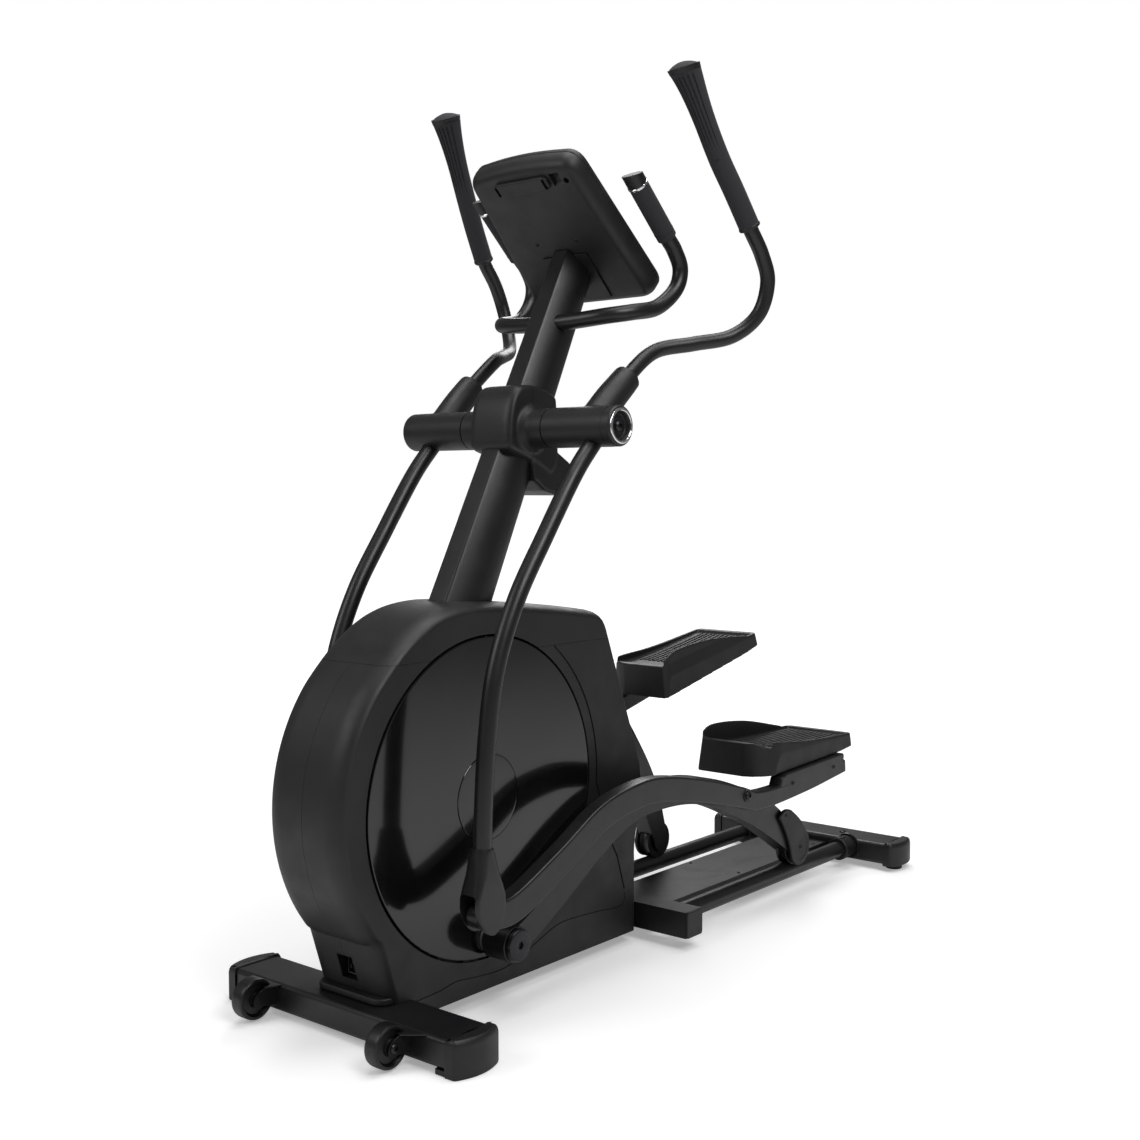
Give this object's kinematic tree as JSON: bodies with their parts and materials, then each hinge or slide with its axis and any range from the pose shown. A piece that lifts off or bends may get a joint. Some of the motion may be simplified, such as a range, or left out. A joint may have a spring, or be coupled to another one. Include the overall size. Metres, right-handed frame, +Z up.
{
  "type": "elliptical trainer",
  "caption": "Front-drive elliptical trainer with swinging handles, round crank discs in a tall housing, pedals on roller links, floor rails and a console on a raked mast.",
  "frame": {"origin": "on the floor, at the middle of the machine's footprint", "axes": "+Z up, -Y towards the front of the machine, +Y where the user stands, +X the user's left"},
  "size_m": [0.7176, 1.717, 1.7116],
  "materials": {
    "powder_coat": "satin, fine texture",
    "moulded_plastic": "matt, fine grain",
    "gloss_plastic": "high gloss",
    "grip_foam": "matt foam",
    "rubber": "matt",
    "bright_steel": "turned",
    "chrome_trim": "polished",
    "cast_iron": "machined rim",
    "display": "glossy clear cover"
  },
  "bodies": {
    "frame": {"base_frame": "powder_coat", "front_stabilizer": "powder_coat", "rear_stabilizer": "powder_coat", "beam_cover": "powder_coat", "front_cap_left": "moulded_plastic", "front_cap_right": "moulded_plastic", "rear_cap_left": "moulded_plastic", "rear_cap_right": "moulded_plastic", "rail_left": "powder_coat", "rail_right": "powder_coat", "mast": "powder_coat", "housing_left": "moulded_plastic", "housing_right": "moulded_plastic", "housing_top": "moulded_plastic", "power_inlet": "moulded_plastic", "drive_belt": "rubber", "pivot_axle": "bright_steel", "shroud_front": "moulded_plastic", "shroud_rear": "moulded_plastic", "pulse_bar": "powder_coat", "pulse_grip_left": "grip_foam", "pulse_grip_right": "grip_foam", "console_back": "moulded_plastic", "console_front": "moulded_plastic", "display_lens": "display"},
    "crank": {"crank_axle": "bright_steel", "drive_pulley": "moulded_plastic", "crank_disc_left": "gloss_plastic", "crank_disc_right": "gloss_plastic"},
    "flywheel": {"flywheel": "cast_iron"},
    "brake_arm": {"brake_arm": "bright_steel"},
    "transport_wheel_left": {"transport_wheel_left": "rubber"},
    "foot_left": {"foot_left": "rubber"},
    "left_swing": {"swing_arm_left": "powder_coat", "arm_sleeve_left": "moulded_plastic", "upper_handle_left": "powder_coat", "hand_grip_left": "grip_foam", "pivot_cap_left": "chrome_trim"},
    "left_pedal_arm": {"pedal_arm_left": "powder_coat", "pedal_left": "moulded_plastic"},
    "left_link": {"roller_link_left": "powder_coat", "crank_pin_left": "gloss_plastic", "roller_cover_left": "moulded_plastic"},
    "left_roller": {"roller_left": "rubber"},
    "transport_wheel_right": {"transport_wheel_right": "rubber"},
    "foot_right": {"foot_right": "rubber"},
    "right_swing": {"swing_arm_right": "powder_coat", "arm_sleeve_right": "moulded_plastic", "upper_handle_right": "powder_coat", "hand_grip_right": "grip_foam", "pivot_cap_right": "chrome_trim"},
    "right_pedal_arm": {"pedal_arm_right": "powder_coat", "pedal_right": "moulded_plastic"},
    "right_link": {"roller_link_right": "powder_coat", "crank_pin_right": "gloss_plastic", "roller_cover_right": "moulded_plastic"},
    "right_roller": {"roller_right": "rubber"},
    "button_start": {"button_start": "rubber"},
    "button_plus": {"button_plus": "rubber"},
    "button_minus": {"button_minus": "rubber"}
  },
  "joints": [
    {"name": "crank_turn", "type": "hinge", "parent": "frame", "child": "crank", "pos_m": [0, -0.5005, 0.375], "axis": [1, 0, 0], "continuous": true},
    {"name": "flywheel_spin", "type": "hinge", "parent": "frame", "child": "flywheel", "pos_m": [0, -0.2665, 0.262], "axis": [1, 0, 0], "continuous": true},
    {"name": "brake_lift", "type": "hinge", "parent": "frame", "child": "brake_arm", "pos_m": [0, -0.3545, 0.39], "axis": [1, 0, 0], "range_deg": [0, 6]},
    {"name": "left_swing_turn", "type": "hinge", "parent": "frame", "child": "left_swing", "pos_m": [0, -0.3285, 1.037], "axis": [1, 0, 0], "range_deg": [-18, 18]},
    {"name": "right_swing_turn", "type": "hinge", "parent": "frame", "child": "right_swing", "pos_m": [0, -0.3285, 1.037], "axis": [1, 0, 0], "range_deg": [-18, 18]},
    {"name": "left_clevis_turn", "type": "hinge", "parent": "left_swing", "child": "left_pedal_arm", "pos_m": [0, -0.6385, 0.214], "axis": [1, 0, 0], "range_deg": [-11.3, 11.3]},
    {"name": "left_link_turn", "type": "hinge", "parent": "left_pedal_arm", "child": "left_link", "pos_m": [0, 0.16161, 0.284], "axis": [1, 0, 0], "range_deg": [-7, 7]},
    {"name": "left_roller_spin", "type": "hinge", "parent": "left_link", "child": "left_roller", "pos_m": [0, 0.4775, 0.1044], "axis": [1, 0, 0], "continuous": true},
    {"name": "right_clevis_turn", "type": "hinge", "parent": "right_swing", "child": "right_pedal_arm", "pos_m": [0, -0.62493, 0.20902], "axis": [1, 0, 0], "range_deg": [-11.4, 11.4]},
    {"name": "right_link_turn", "type": "hinge", "parent": "right_pedal_arm", "child": "right_link", "pos_m": [0, 0.14935, 0.42247], "axis": [1, 0, 0], "range_deg": [-6.9, 6.9]},
    {"name": "right_roller_spin", "type": "hinge", "parent": "right_link", "child": "right_roller", "pos_m": [0, 0.32506, 0.1044], "axis": [1, 0, 0], "continuous": true},
    {"name": "left_wheel_spin", "type": "hinge", "parent": "frame", "child": "transport_wheel_left", "pos_m": [0.168, -0.8225, 0.04], "axis": [1, 0, 0], "continuous": true},
    {"name": "left_foot_turn", "type": "hinge", "parent": "frame", "child": "foot_left", "pos_m": [0.236, 0.8055, 0], "axis": [0, 0, 1], "continuous": true},
    {"name": "right_wheel_spin", "type": "hinge", "parent": "frame", "child": "transport_wheel_right", "pos_m": [-0.168, -0.8225, 0.04], "axis": [1, 0, 0], "continuous": true},
    {"name": "right_foot_turn", "type": "hinge", "parent": "frame", "child": "foot_right", "pos_m": [-0.236, 0.8055, 0], "axis": [0, 0, 1], "continuous": true},
    {"name": "start_press", "type": "slide", "parent": "frame", "child": "button_start", "axis": [0, -0.6802, -0.7331], "range_m": [0, 0.001], "stiffness_N_per_m": 600},
    {"name": "plus_press", "type": "slide", "parent": "frame", "child": "button_plus", "axis": [0, -0.6802, -0.7331], "range_m": [0, 0.001], "stiffness_N_per_m": 600},
    {"name": "minus_press", "type": "slide", "parent": "frame", "child": "button_minus", "axis": [0, -0.6802, -0.7331], "range_m": [0, 0.001], "stiffness_N_per_m": 600}
  ],
  "couplings": [
    {"joint": "flywheel_spin", "follows": "crank_turn", "ratio": 5.3571},
    {"joint": "right_swing_turn", "follows": "left_swing_turn", "ratio": -1},
    {"joint": "left_clevis_turn", "follows": "left_swing_turn", "ratio": -0.618},
    {"joint": "left_link_turn", "follows": "left_swing_turn", "ratio": -0.382},
    {"joint": "left_roller_spin", "follows": "left_swing_turn", "ratio": -22.1},
    {"joint": "right_clevis_turn", "follows": "left_swing_turn", "ratio": 0.6225},
    {"joint": "right_link_turn", "follows": "left_swing_turn", "ratio": 0.3775},
    {"joint": "right_roller_spin", "follows": "left_swing_turn", "ratio": 20.8}
  ]
}
